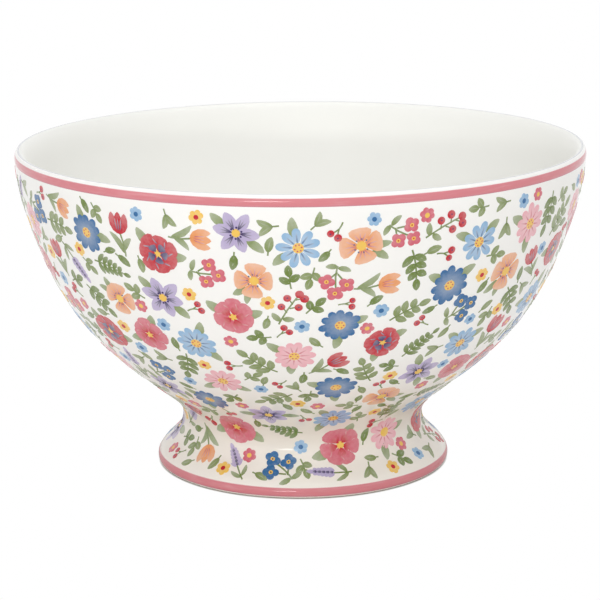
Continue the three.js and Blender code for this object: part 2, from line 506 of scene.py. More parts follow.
class Shader:
    """Adds nodes to one node tree."""

    def __init__(self, tree):
        self.tree = tree

    def node(self, kind, settings=None, inputs=None, output=0):
        """Adds a node, with its settings set first and then the values or wires of its sockets."""
        made = self.tree.nodes.new(kind)
        for name, value in (settings or {}).items():
            setattr(made, name, value)
        for key, value in (inputs or {}).items():
            self.feed(made.inputs[key], value)
        return Wire(self, made.outputs[output])

    def feed(self, socket, value):
        if isinstance(value, Wire):
            self.tree.links.new(value.socket, socket)
        elif socket.type == "RGBA" and len(value) == 3:
            socket.default_value = (*value, 1.0)
        else:
            socket.default_value = value

    def place(self):
        return self.node("ShaderNodeTexCoord", output="Object")

    def height(self, place):
        return self.node("ShaderNodeSeparateXYZ", None, {0: place}, "Z")

    def scaled(self, place, sides):
        return self.node("ShaderNodeVectorMath", {"operation": "MULTIPLY"}, {0: place, 1: sides})

    def reach(self, place):
        """Distance from the bowl's axis."""
        flat = self.scaled(place, (1.0, 1.0, 0.0))
        return self.node("ShaderNodeVectorMath", {"operation": "LENGTH"}, {0: flat}, "Value")

    def attribute(self, name):
        """A number that the mesh holds at each vertex."""
        return self.node("ShaderNodeAttribute", {"attribute_name": name}, None, "Fac")

    def noise(self, place, grain, detail=SMOOTH):
        return self.node("ShaderNodeTexNoise", None, {"Vector": place, "Scale": grain, "Detail": detail})

    def blend(self, share, first, second):
        """Mix of two colours."""
        return self.node("ShaderNodeMix", {"data_type": "RGBA"}, {0: share, 6: first, 7: second}, 2)

    def ease(self, value, low, high):
        """0 below the low value, 1 above the high one, and smooth between them."""
        return self.node(
            "ShaderNodeMapRange", {"interpolation_type": "SMOOTHSTEP"},
            {"Value": value, "From Min": low, "From Max": high})

    def spots(self, place, grain, span):
        """Spots of a rugged noise, which come up over a span of its values."""
        return self.ease(self.noise(place, grain, RUGGED), *span)

    def bump(self, height, strength, distance):
        return self.node(
            "ShaderNodeBump", None, {"Height": height, "Strength": strength, "Distance": distance})


# Sheen: the least roughness, how much more it may be, and the grain of the change
Sheen = namedtuple("Sheen", "roughness spread grain")
GLOSSY = Sheen(0.07, 0.08, 70.0)
SATIN = Sheen(0.32, 0.08, 70.0)
DULL = Sheen(0.75, 0.2, 700.0)
ENAMEL_SHEEN = Sheen(0.05, 0.06, 300.0)
INK_SHEEN = Sheen(0.1, 0.08, 400.0)

# Relief: its grain, how rugged that is, its strength and its depth
Relief = namedtuple("Relief", "grain detail strength depth")
WAVY = Relief(45.0, 1.0, 0.12, 0.0008)
GRITTY = Relief(1500.0, 3.0, 0.35, 0.0001)

# How strongly a finish mirrors
GLAZE_MIRROR = 0.5
CLAY_MIRROR = 0.3


def finish(name, colour_of, sheen, relief=None, mirror=GLAZE_MIRROR):
    """Material with a sheen, a relief, and a colour that a function of shader and place works out."""
    material = bpy.data.materials.new(name)
    material.use_nodes = True
    shader = Shader(material.node_tree)
    surface = material.node_tree.nodes["Principled BSDF"]
    place = shader.place()
    shader.feed(surface.inputs["Base Color"], colour_of(shader, place))
    rough = sheen.roughness + sheen.spread * shader.noise(place, sheen.grain)
    shader.feed(surface.inputs["Roughness"], rough)
    if relief:
        waves = shader.noise(place, relief.grain, relief.detail)
        shader.feed(surface.inputs["Normal"], shader.bump(waves, relief.strength, relief.depth))
    surface.inputs["Specular IOR Level"].default_value = mirror
    return material


# Glaze: heights over which the cream ends and the painted shade in the waist rises and falls, with their
# shares, the grain and the share of a drift, and how much of all this the outside and the inside take
CREAM_END = (0.016, 0.046)
CREAM_SHARE = 0.7
WAIST_SHADE_RISE = (0.008, 0.0145)
WAIST_SHADE_FALL = (0.0145, 0.028)
WAIST_SHADE_SHARE = 0.42
DRIFT_GRAIN = 28.0
DRIFT_SHARE = 0.15
OUTSIDE_WARMTH = 1.0
INSIDE_WARMTH = 0.3

# Grey line on the lip, a painted reflection: where it begins and ends beside the crest, and where below the
# top
LINE_BEGIN = (-0.0005, -0.0001)
LINE_END = (0.0001, 0.0003)
LINE_BELOW = (-0.0008, -0.0004)

# Iron specks: cells to the metre, the edge of the dot in a cell, and the draw from which a cell has one
SPECK_CELLS = 95.0
SPECK_EDGE = (0.008, 0.02)
SPECK_DRAW = (0.86, 0.88)
SPECK_SHARE = 0.4


def beside(place, span):
    return [place + end for end in span]


def glaze_finish(name, white, sheen, warmth, glaze, shape):
    """White glaze: a grey line of painted reflection along the crest of the lip, creamy low down, painted
    shade in the waist, with a soft waviness and a few iron specks."""
    crest = shape.rim_radius - shape.lip_reach
    top = shape.bowl_height

    # Where the painted grey reflection lies along the crest of the lip
    def painted_crest_reflection(shader, height, reach):
        begun = shader.ease(reach, *beside(crest, LINE_BEGIN))
        ended = shader.ease(reach, *beside(crest, LINE_END))
        return begun * (1 - ended) * shader.ease(height, *beside(top, LINE_BELOW))

    def specks(shader, place):
        cells = {"Vector": place, "Scale": SPECK_CELLS}
        near = shader.node("ShaderNodeTexVoronoi", None, cells, "Distance")
        draw = shader.node("ShaderNodeTexVoronoi", None, cells, "Color")
        chance = shader.node("ShaderNodeSeparateColor", None, {0: draw}, "Red")
        return (1 - shader.ease(near, *SPECK_EDGE)) * shader.ease(chance, *SPECK_DRAW)

    def colour(shader, place):
        height = shader.height(place)
        low = 1 - shader.ease(height, *CREAM_END)
        drift = shader.noise(place, DRIFT_GRAIN)
        # Painted shade in the waist
        waist = shader.ease(height, *WAIST_SHADE_RISE) * (1 - shader.ease(height, *WAIST_SHADE_FALL))
        coat = shader.blend(warmth * (CREAM_SHARE * low + DRIFT_SHARE * drift), white, glaze.cream)
        coat = shader.blend(warmth * WAIST_SHADE_SHARE * waist, coat, glaze.waist_shade)
        coat = shader.blend(painted_crest_reflection(shader, height, shader.reach(place)), coat, glaze.painted_crest_reflection)
        return shader.blend(SPECK_SHARE * specks(shader, place), coat, glaze.clay_dark)

    return finish(name, colour, sheen, WAVY)


# Clay: the grain, the span and the share of its dark grains and clouds
CLAY_GRAIN = 1800.0
CLAY_SPAN = (0.5, 0.75)
CLAY_SHARE = 0.6
CLOUD_GRAIN = 90.0
CLOUD_SHARE = 0.3

# Wear and painted contact shadow of the ring: their height and width, then the grain, the span and the
# share of the wear's patches, and the share of the painted shadow along the outer edge
RING_WEAR_AND_SHADOW = 0.0004
WEAR_GRAIN = 240.0
WEAR_SPAN = (0.35, 0.7)
WEAR_SHARE = 0.35
EDGE_CONTACT_SHADOW = 0.88


def clay_finish(name, body, glaze, shape):
    """Fired clay: fine dark grains, a rough face, grey wear on the ring and painted contact shadow on its
    outer edge.
    """

    def colour(shader, place):
        grains = CLAY_SHARE * shader.spots(place, CLAY_GRAIN, CLAY_SPAN)
        dark = grains + CLOUD_SHARE * shader.noise(place, CLOUD_GRAIN)
        # Painted contact shadow along the ring's outer edge, over grey patches of wear
        low = 1 - shader.ease(shader.height(place), 0.0, RING_WEAR_AND_SHADOW)
        edge = shader.ease(shader.reach(place), shape.ring_radius - RING_WEAR_AND_SHADOW, shape.ring_radius)
        patches = WEAR_SHARE * shader.spots(place, WEAR_GRAIN, WEAR_SPAN)
        wear_and_contact_shadow = low * (patches + (EDGE_CONTACT_SHADOW - patches) * edge)
        return shader.blend(wear_and_contact_shadow, shader.blend(dark, body, glaze.clay_dark), glaze.wear_and_contact_shadow)

    return finish(name, colour, DULL, GRITTY, CLAY_MIRROR)


# Enamel: the brush's streaks, and where across a line the painted highlight ends and the painted shade
# begins, with their shares
STREAK_GRAIN = 160.0
STREAK_SIDES = (1.0, 1.0, 9.0)
STREAK_SPAN = (0.45, 0.8)
STREAK_SHARE = 0.08
HIGHLIGHT_END = (0.0, 0.1)
HIGHLIGHT_SHARE = 0.3
SHADE_BEGIN = (0.8, 0.96)
SHADE_SHARE = 0.45


def enamel_finish(bands, glaze):
    """Pink enamel: a brushed coat, with a painted highlight along its upper edge and a painted shade along
    the lower one.
    """

    def colour(shader, place):
        streaks = shader.spots(shader.scaled(place, STREAK_SIDES), STREAK_GRAIN, STREAK_SPAN)
        across = 2 * shader.attribute("along")
        # Brush streaks, and a painted highlight along the upper edge of the line
        thin = STREAK_SHARE * streaks + HIGHLIGHT_SHARE * (1 - shader.ease(across, *HIGHLIGHT_END))
        # Painted shade along the lower edge of the line
        thick = SHADE_SHARE * shader.ease(across, *SHADE_BEGIN)
        return shader.blend(thick, shader.blend(thin, bands.enamel, glaze.white), bands.enamel_edge)

    return finish("pink enamel", colour, ENAMEL_SHEEN)


# Ink: how much of it shows at least, and what its grain and its drift add
INK_LEAST = 0.8
INK_GRAIN = 1100.0
INK_GRAIN_SHARE = 0.24
INK_DRIFT = 160.0
INK_DRIFT_SHARE = 0.2


def ink_finish(name, ink, glaze):
    """Transfer ink under a shine: full colour where a stroke is wet, washed out where it is thin."""

    def colour(shader, place):
        grain = INK_GRAIN_SHARE * shader.noise(place, INK_GRAIN, RUGGED)
        drift = INK_DRIFT_SHARE * shader.noise(place, INK_DRIFT)
        return shader.blend(shader.attribute("cover") * (INK_LEAST + grain + drift), glaze.white, ink)

    return finish(name, colour, INK_SHEEN)


# Brush strokes of the print, which is drawn in millimetres: how far along a stroke is widest, how pointed
# its ends are, and its rows of faces
Stroke = namedtuple("Stroke", "skew point rows")
PETAL = Stroke(1.6, 0.5, 7)
FAN = Stroke(2.4, 0.45, 7)
LEAF = Stroke(0.9, 0.7, 6)
BUD = Stroke(0.6, 0.6, 5)
DOT = Stroke(1.0, 0.5, 6)
STALK = Stroke(1.0, 0.0, 4)
VEIN = Stroke(0.7, 0.7, 3)
RIB_WIDTH = 0.3
RIB_SHARE = 0.8
STALK_WIDTH = 0.42
TWIG_WIDTH = 0.34

# Wetness of a stroke at its start and at its end
EVEN = (1.0, 1.0)
FADING = (1.0, 0.85)
WASHED = (1.0, 0.8)
FILLING = (0.9, 1.0)
PALE = (0.85, 0.85)
RIB = (0.9, 0.7)
FINE_RIB = (0.9, 0.6)
TWIG = (0.95, 0.8)
STEM = (0.9, 0.9)

# Width from which a stroke has two columns of faces, half the side of the grid that it starts as, and the
# number of vertices that fills a sheet
WIDE_STROKE = 1.5
HALF_GRID = 0.5
FULL_SHEET = 800

# How much lengths and angles vary from one drawing of a motif to the next
PLAY = 0.08
UNEVEN = 0.1

# Inks in the order in which they are laid
INKS = ("leaf", "moss", "sky", "blush", "lilac", "peach", "rose", "blue", "yellow", "red", "violet")

# Place of a motif: how far down the wall, where round the axis, how it is turned, and its scale
Spot = namedtuple("Spot", "length angle turn scale")


def xy(x, y):
    return Vector((x, y))


def polar(degrees, reach):
    angle = math.radians(degrees)
    return xy(reach * math.cos(angle), reach * math.sin(angle))


def swung(line, angle):
    """A point or a direction of the section, swung round the axis."""
    return Vector((line.x * math.cos(angle), line.x * math.sin(angle), line.z))


class Press:
    """Lays the inks of the print on the glaze, one thin film for each."""

    def __init__(self, wall, settings):
        self.wall = wall
        self.film = settings.film
        self.step = settings.step
        self.films = {ink: [self.blank()] for ink in INKS}

    @staticmethod
    def blank():
        film = bmesh.new()
        film.verts.layers.float.new("cover")
        film.verts.layers.float_vector.new("flat")
        return film

    def lift(self, ink):
        """Height of an ink over the glaze."""
        return self.film + self.step * INKS.index(ink)

    def sheet(self, ink):
        """Sheet that takes the next stroke of an ink, a fresh one when the last is full."""
        if len(self.films[ink][-1].verts) > FULL_SHEET:
            self.films[ink].append(self.blank())
        return self.films[ink][-1]

    def under(self, spot, x, y):
        """Point of the glaze under a point of a flat motif, the direction it faces, its angle round the
        axis and its length down the wall."""
        x, y = x * spot.scale * MM, y * spot.scale * MM
        down = spot.length - (math.sin(spot.turn) * x + math.cos(spot.turn) * y)
        point, way = self.wall.at_length(down)
        angle = spot.angle + (math.cos(spot.turn) * x - math.sin(spot.turn) * y) / point.x
        return swung(point, angle), swung(way, angle), angle, down

    def stroke(self, spot, ink, start, end, width, kind, bow, cover):
        """One stroke: a strip of faces along a bowed line, as wide at each point as its kind is there."""
        film = self.sheet(ink)
        lift = self.lift(ink)
        wet = film.verts.layers.float["cover"]
        flat = film.verts.layers.float_vector["flat"]
        run = end - start
        bend = start + run / 2 + xy(-run.y, run.x) * bow
        columns = 2 if width > WIDE_STROKE else 1
        made = bmesh.ops.create_grid(film, x_segments=columns, y_segments=kind.rows, size=HALF_GRID)
        for corner in made["verts"]:
            share = (1 - math.cos(math.pi * (corner.co.y + HALF_GRID))) / 2
            ahead = 2 * ((1 - share) * (bend - start) + share * (end - bend))
            side = xy(ahead.y, -ahead.x).normalized()
            bulge = max(share ** kind.skew * (1 - share ** kind.skew) * 4, 0.0) ** kind.point
            middle = start * (1 - share) ** 2 + bend * (2 * share * (1 - share)) + end * share ** 2
            place = middle + side * (corner.co.x * width * bulge)
            point, way, angle, down = self.under(spot, place.x, place.y)
            corner.co = point + way * lift
            corner[wet] = cover[0] + (cover[1] - cover[0]) * share
            turn = min(max((angle - BACK) / FULL_TURN, 0.0), 1.0)
            corner[flat] = (turn, 1 - down / self.wall.lengths[-1], 0.0)

    def mesh_of(self, ink):
        """The finished film of one ink, as closed pads that reach a hair into the glaze."""
        data = bpy.data.meshes.new(ink)
        film = bmesh.new()
        for sheet in self.films[ink]:
            sheet.to_mesh(data)
            sheet.free()
            film.from_mesh(data)
        bmesh.ops.remove_doubles(film, verts=film.verts, dist=HAIRLINE)
        bmesh.ops.solidify(film, geom=film.faces, thickness=self.lift(ink) + self.film)
        bmesh.ops.recalc_face_normals(film, faces=film.faces)
        flat = film.verts.layers.float_vector["flat"]
        baked = film.loops.layers.uv.new("OFBake")
        for face in film.faces:
            for loop in face.loops:
                loop[baked].uv = loop.vert[flat].xy
        film.to_mesh(data)
        film.free()
        return data


class Hand:
    """Draws one motif at its place."""

    def __init__(self, press, spot, dice):
        self.press = press
        self.spot = spot
        self.dice = dice

    def near(self, value):
        return value * self.dice.uniform(1 - PLAY, 1 + PLAY)

    def ring(self, count, start=0.0):
        """Angles of so many petals round a flower, a little uneven."""
        return [start + 360 / count * (step + self.dice.uniform(-UNEVEN, UNEVEN)) for step in range(count)]

    def stroke(self, ink, start, end, width, kind, bow=0.0, cover=EVEN):
        self.press.stroke(self.spot, ink, start, end, width, kind, bow, cover)

    def ray(self, ink, angle, inner, outer, width, kind, bow=0.0, cover=EVEN):
        """A stroke straight out from the middle of the motif."""
        self.stroke(ink, polar(angle, inner), polar(angle, outer), width, kind, bow, cover)

    def dot(self, ink, centre, radius, cover=EVEN):
        reach = xy(0.0, radius)
        self.stroke(ink, centre - reach, centre + reach, 2 * radius, DOT, cover=cover)

    def stalk(self, start, end, bow=0.0, width=STALK_WIDTH, ink="moss", cover=TWIG):
        self.stroke(ink, start, end, width, STALK, bow, cover)

    def rib(self, ink, start, end, bow=0.0, cover=RIB):
        self.stroke(ink, start, end, RIB_WIDTH, VEIN, bow, cover)

    def leaf(self, start, end, width, bow=0.0):
        """A leaf with its midrib."""
        end = start + (end - start) * self.near(1.0)
        self.stroke("leaf", start, end, width, LEAF, bow, cover=(1.0, 0.72))
        self.rib("moss", start, start + (end - start) * RIB_SHARE, bow * RIB_SHARE)

    def side_leaf(self, angle, inner, outer, width, bow):
        self.leaf(polar(angle, inner), polar(angle, outer), width, bow)


def daisy(hand, petal, vein):
    """Open flower with many narrow petals over two leaves."""
    hand.side_leaf(205, 2.5, 7.6, 2.5, 0.12)
    hand.side_leaf(322, 2.5, 7.4, 2.4, -0.12)
    for angle in hand.ring(hand.dice.choice((9, 10, 11))):
        reach = hand.near(5.0)
        hand.ray(petal, angle, 0.9, reach, 2.15, PETAL, cover=(0.7, 1.0))
        hand.ray(vein, angle, 1.2, reach * 0.76, 0.42, VEIN, cover=(0.95, 0.55))
    hand.dot("yellow", xy(0, 0), 1.35, FILLING)
    for angle in hand.ring(6):
        hand.dot("red", polar(angle, 0.85), 0.22, PALE)


def rosette(hand, petal, heart):
    """Round double flower with a leaf on each side."""
    hand.side_leaf(160, 2.5, 7.4, 2.6, 0.15)
    hand.side_leaf(30, 2.5, 7.2, 2.5, -0.15)
    for angle in hand.ring(7):
        hand.ray(petal, angle, 0.6, hand.near(4.9), 3.9, FAN, cover=(1.0, 0.86))
    for angle in hand.ring(7, 25):
        hand.stroke(heart, polar(angle - 9, 2.6), polar(angle + 9, 4.0), 0.36, VEIN, 0.2, (0.85, 0.5))
    hand.dot("yellow", xy(0, 0), 0.95)
    for angle in hand.ring(5, 12):
        hand.ray(heart, angle, 0.55, hand.near(2.6), 2.2, FAN, 0.1, WASHED)


def star(hand, petal, vein):
    """Six pointed petals with dark veins and a ring of seeds."""
    hand.side_leaf(270, 3.0, 7.8, 2.3, 0.1)
    hand.side_leaf(90, 3.0, 7.6, 2.2, 0.1)
    for angle in hand.ring(6):
        reach = hand.near(5.4)
        hand.ray(petal, angle, 0.3, reach, 3.1, LEAF, cover=FADING)
        for side in (-12, 0, 12):
            tip = polar(angle + side, reach * 0.68)
            hand.stroke(vein, polar(angle, 0.9), tip, 0.34, VEIN, cover=(1.0, 0.6))
    hand.dot("yellow", xy(0, 0), 1.05)
    for angle in hand.ring(6, 30):
        hand.dot("violet", polar(angle, 1.4), 0.26)


def poppy(hand, petal, vein):
    """Four broad petals with fine veins."""
    hand.side_leaf(240, 3.0, 7.4, 2.1, 0.15)
    hand.side_leaf(275, 3.0, 7.2, 1.9, -0.15)
    for angle in hand.ring(4, 15):
        reach = hand.near(4.9)
        hand.ray(petal, angle, 0.2, reach, 5.5, FAN, cover=(1.0, 0.68))
        for side in (-24, 0, 24):
            base = polar(angle + side * 0.5, 1.2)
            tip = polar(angle + side, reach * 0.74)
            hand.stroke(vein, base, tip, 0.34, VEIN, cover=(0.85, 0.45))
    hand.dot("yellow", xy(0, 0), 1.2)
    for angle in hand.ring(9):
        hand.dot("violet", polar(angle, 1.75), 0.21, PALE)


def tulip(hand, petal, vein):
    """Cup of three petals on a stalk with two long leaves."""
    hand.stalk(xy(0.0, 0.6), xy(0.7, -5.6), 0.12)
    hand.leaf(xy(0.5, -4.8), xy(-3.1, 0.2), 1.7, -0.22)
    hand.leaf(xy(0.6, -4.2), xy(3.3, -0.4), 1.6, 0.22)
    for side in (-1, 1):
        hand.stroke(petal, xy(0, 0.2), xy(side * 1.9, 5.2), 2.4, LEAF, side * -0.2, (1.0, 0.75))
    hand.stroke(petal, xy(0, 0.0), xy(0, 5.4), 2.6, LEAF, cover=(1.0, 0.9))
    for tip in (-0.9, 0.0, 0.9):
        hand.stroke(vein, xy(tip * 0.4, 0.9), xy(tip, 3.9), 0.32, VEIN, tip * -0.1, (0.9, 0.5))


def posy(hand, petal, eye):
    """Three small four-petalled flowers on one stalk."""
    hand.stalk(xy(0, 1.4), xy(0.4, -4.6), 0.1)
    hand.stalk(xy(0.1, -2.4), xy(-2.0, 0.2), 0.1)
    hand.stalk(xy(0.2, -2.8), xy(2.1, -0.4), -0.1)
    hand.leaf(xy(0.3, -4.0), xy(-2.9, -3.4), 1.5, 0.15)
    hand.leaf(xy(0.3, -4.2), xy(3.3, -4.1), 1.5, -0.15)
    for centre in (xy(0, 3.0), xy(-2.5, 0.4), xy(2.5, -0.1)):
        start = hand.dice.uniform(0, 90)
        for angle in hand.ring(4, start):
            hand.dot(petal, centre + polar(angle, 1.05), hand.near(1.05), FILLING)
        hand.dot("yellow", centre, 0.55)
        hand.dot(eye, centre, 0.22)


def berries(hand, fruit, shine):
    """Bowed twig with berries on both sides and a few leaves."""
    start, end = xy(-0.6, -5.6), xy(0.7, 4.2)
    hand.stalk(start, end, 0.06)
    for step, side in enumerate((-1, 1, -1, 1)):
        base = start.lerp(end, 0.42 + 0.15 * step)
        tip = base + xy(side * 1.9, 1.2)
        hand.stalk(base, tip, side * 0.1, TWIG_WIDTH)
        hand.dot(fruit, tip, hand.near(1.05), FADING)
        hand.dot(shine, tip + xy(0.0, 0.1), 0.2)
    hand.dot(fruit, end + xy(0.1, 0.7), 1.1, FADING)
    hand.leaf(start.lerp(end, 0.12), xy(-3.3, -3.0), 1.7, 0.12)
    hand.leaf(start.lerp(end, 0.2), xy(2.6, -2.4), 1.7, -0.12)


def spray(hand, leaf, vein):
    """Bowed twig with three pairs of leaves and one at its tip."""
    start, end = xy(0.3, -5.6), xy(0.3, 2.6)
    hand.stalk(start, end, 0.08, ink=vein, cover=(0.95, 0.9))
    for step in range(3):
        share = 0.22 + 0.28 * step
        base = start.lerp(end, share) + xy(-1.3, 0) * (share * (1 - share))
        for side in (-1, 1):
            tip = base + polar(90 + side * hand.near(54), hand.near(3.6 - 0.35 * step))
            hand.stroke(leaf, base, tip, 2.0, LEAF, side * 0.12, FADING)
            hand.rib(vein, base, base.lerp(tip, 0.75), side * 0.1)
    hand.stroke(leaf, end, end + xy(0.3, 3.3), 2.0, LEAF, cover=FADING)
    hand.rib(vein, end, end + xy(0.2, 2.4))


def fern(hand, leaf, vein):
    """Frond with pairs of narrow leaflets that get shorter to the tip."""
    start, end = xy(0.0, -5.0), xy(0.5, 3.8)
    hand.stalk(start, end, 0.08, 0.4, vein)
    for step in range(5):
        share = 0.16 + 0.17 * step
        base = start.lerp(end, share) + xy(-0.35, 0) * (4 * share * (1 - share))
        reach = hand.near(3.0 - 0.34 * step)
        for angle, bow in ((34, -0.1), (146, 0.1)):
            hand.stroke(leaf, base, base + polar(angle, reach), 1.3, LEAF, bow, WASHED)
    hand.stroke(leaf, end, end + xy(0.1, 2.0), 1.2, LEAF, cover=WASHED)


def lavender(hand, bud, dark):
    """Spike of small buds on a thin stalk."""
    hand.stalk(xy(0.3, -5.6), xy(0, 3.6), 0.05, 0.4)
    hand.leaf(xy(0.25, -4.8), xy(-2.1, -1.7), 1.2, 0.15)
    hand.leaf(xy(0.25, -4.4), xy(2.4, -1.5), 1.2, -0.15)
    for step in range(5):
        base = xy(0.05, -0.8 + 1.05 * step)
        reach = hand.near(2.0 - 0.18 * step)
        for angle in (40, 140):
            hand.stroke(bud, base, base + polar(angle, reach), 1.35, BUD, cover=FADING)
        hand.stroke(dark, base, base + xy(0, 1.0), 0.75, BUD, cover=(0.95, 0.7))
    hand.stroke(bud, xy(0, 4.2), xy(0, 6.0), 1.2, BUD, cover=FADING)


def leaf_pair(hand, leaf, vein):
    """Two leaves on a short stalk."""
    hand.stalk(xy(0, -2.6), xy(0, -0.8), 0.0, 0.38, vein, STEM)
    for side in (-1, 1):
        tip = xy(side * hand.near(2.0), hand.near(2.4))
        hand.stroke(leaf, xy(0, -1.2), tip, 1.75, LEAF, side * 0.18, (1.0, 0.78))
        hand.rib(vein, xy(0, -1.0), tip * 0.7, side * 0.15, FINE_RIB)


def sprig(hand, leaf, vein):
    """Short stalk with three leaves."""
    hand.stalk(xy(0.2, -2.8), xy(0, 0.6), 0.08, 0.38, vein, STEM)
    for base, tip in (
        (xy(0.1, -1.2), xy(-2.4, 0.3)), (xy(0.1, -0.9), xy(2.4, 0.9)),
        (xy(0.0, 0.4), xy(-0.2, 3.4)),
    ):
        tip = base.lerp(tip, hand.near(1.0))
        hand.stroke(leaf, base, tip, 1.95, LEAF, 0.08, FADING)
        hand.rib(vein, base, base.lerp(tip, 0.7), 0.06, FINE_RIB)


def single_leaf(hand, leaf, vein):
    """One leaf on a short stalk."""
    tip = xy(hand.near(0.4), hand.near(2.2))
    hand.stalk(xy(0, -2.4), xy(0, -1.0), 0.0, 0.36, vein, STEM)
    hand.stroke(leaf, xy(0, -1.6), tip, 2.0, LEAF, 0.1, FADING)
    hand.rib(vein, xy(0, -1.4), tip * 0.6, 0.08, FINE_RIB)


def berry_pair(hand, fruit, shine):
    """Two berries on a forked stalk."""
    fork = xy(0, -0.7)
    hand.stalk(xy(0.2, -2.4), fork, 0.1, 0.36)
    for side in (-1, 1):
        tip = xy(side * 0.95, hand.near(1.1))
        hand.stalk(fork, tip, side * 0.12, TWIG_WIDTH)
        hand.dot(fruit, tip, hand.near(0.85), FADING)
        hand.dot(shine, tip + xy(0, 0.1), 0.18)


def blossom(hand, petal, eye):
    """Very small flower of six round petals."""
    for angle in hand.ring(6):
        hand.dot(petal, polar(angle, 1.15), hand.near(0.72), (0.85, 1.0))
    hand.dot(eye, xy(0, 0), 0.62)


# Motifs: the way to draw each, its inks, the discs that it covers and the distance between two alike.
# Each tier is scattered in turns, one of each motif a turn, before the next tier fills what is left.
Motif = namedtuple("Motif", "draw inks discs apart")
Tier = namedtuple("Tier", "turns motifs")
FLOWER = (0.0, 0.0, 4.8)
DAISY_DISCS = (FLOWER, (-5.7, -2.7, 1.4), (4.8, -3.8, 1.4))
ROSETTE_DISCS = (FLOWER, (-5.8, 2.1, 1.4), (5.1, 3.0, 1.4))
POPPY_DISCS = (FLOWER, (-3.0, -5.3, 1.3), (0.5, -6.0, 1.3))
STAR_DISCS = (FLOWER, (0.0, -6.2, 1.3), (0.0, 6.1, 1.3))
TULIP_DISCS = ((0.0, 3.1, 2.5), (0.1, -1.4, 2.8), (0.5, -4.8, 0.9))
POSY_DISCS = ((0.0, 1.1, 3.9), (0.2, -3.5, 2.0))
TWIG_DISCS = ((0.1, 2.6, 2.8), (-0.3, -2.7, 2.6), (-0.6, -5.0, 0.8))
SPRAY_DISCS = ((0.2, -2.9, 2.6), (0.1, 0.6, 2.5), (0.4, 4.0, 1.5))
SPIKE_DISCS = ((0.0, 2.6, 2.0), (0.1, -0.9, 1.7), (0.2, -3.9, 1.6))
SPRIG_DISCS = ((0.0, 1.8, 1.3), (0.0, 0.0, 1.9), (0.1, -2.0, 0.6))
LEAF_DISCS = ((0.0, -1.5, 0.6), (0.1, 0.0, 0.9), (0.3, 1.6, 0.7))
BLOSSOM_DISCS = ((0.0, 0.0, 1.75),)
BERRY_DISCS = ((0.0, 0.9, 1.6), (0.1, -1.6, 0.5))
PAIR_DISCS = ((0.0, 0.5, 2.0), (0.0, -1.8, 0.6))
TIERS = (
    Tier(15, (
        Motif(daisy, ("blue", "sky"), DAISY_DISCS, 22),
        Motif(rosette, ("rose", "red"), ROSETTE_DISCS, 22),
        Motif(poppy, ("peach", "red"), POPPY_DISCS, 22),
        Motif(daisy, ("blush", "rose"), DAISY_DISCS, 22),
        Motif(star, ("lilac", "violet"), STAR_DISCS, 22),
        Motif(rosette, ("red", "violet"), ROSETTE_DISCS, 22),
        Motif(daisy, ("sky", "blue"), DAISY_DISCS, 22),
    )),
    Tier(14, (
        Motif(spray, ("leaf", "moss"), SPRAY_DISCS, 12),
        Motif(spray, ("moss", "moss"), SPRAY_DISCS, 12),
        Motif(tulip, ("red", "violet"), TULIP_DISCS, 18),
        Motif(posy, ("blue", "violet"), POSY_DISCS, 18),
        Motif(berries, ("red", "violet"), TWIG_DISCS, 18),
        Motif(tulip, ("peach", "red"), TULIP_DISCS, 18),
        Motif(fern, ("moss", "moss"), SPRAY_DISCS, 14),
        Motif(posy, ("rose", "red"), POSY_DISCS, 18),
        Motif(lavender, ("lilac", "violet"), SPIKE_DISCS, 18),
    )),
    Tier(60, (
        Motif(sprig, ("leaf", "moss"), SPRIG_DISCS, 6),
        Motif(blossom, ("sky", "blue"), BLOSSOM_DISCS, 14),
        Motif(berry_pair, ("red", "violet"), BERRY_DISCS, 10),
        Motif(sprig, ("moss", "moss"), SPRIG_DISCS, 6),
        Motif(leaf_pair, ("leaf", "moss"), PAIR_DISCS, 6),
        Motif(blossom, ("yellow", "red"), BLOSSOM_DISCS, 16),
        Motif(blossom, ("rose", "yellow"), BLOSSOM_DISCS, 14),
    )),
    Tier(120, (
        Motif(single_leaf, ("leaf", "moss"), LEAF_DISCS, 4),
        Motif(single_leaf, ("moss", "moss"), LEAF_DISCS, 4),
    )),
)

# Throws for one motif, the range of its scale, and the side of a cell of the search, over two discs' radii
DARTS = 220
LEAST_SCALE = 0.94
MOST_SCALE = 1.1
CELL = 0.014


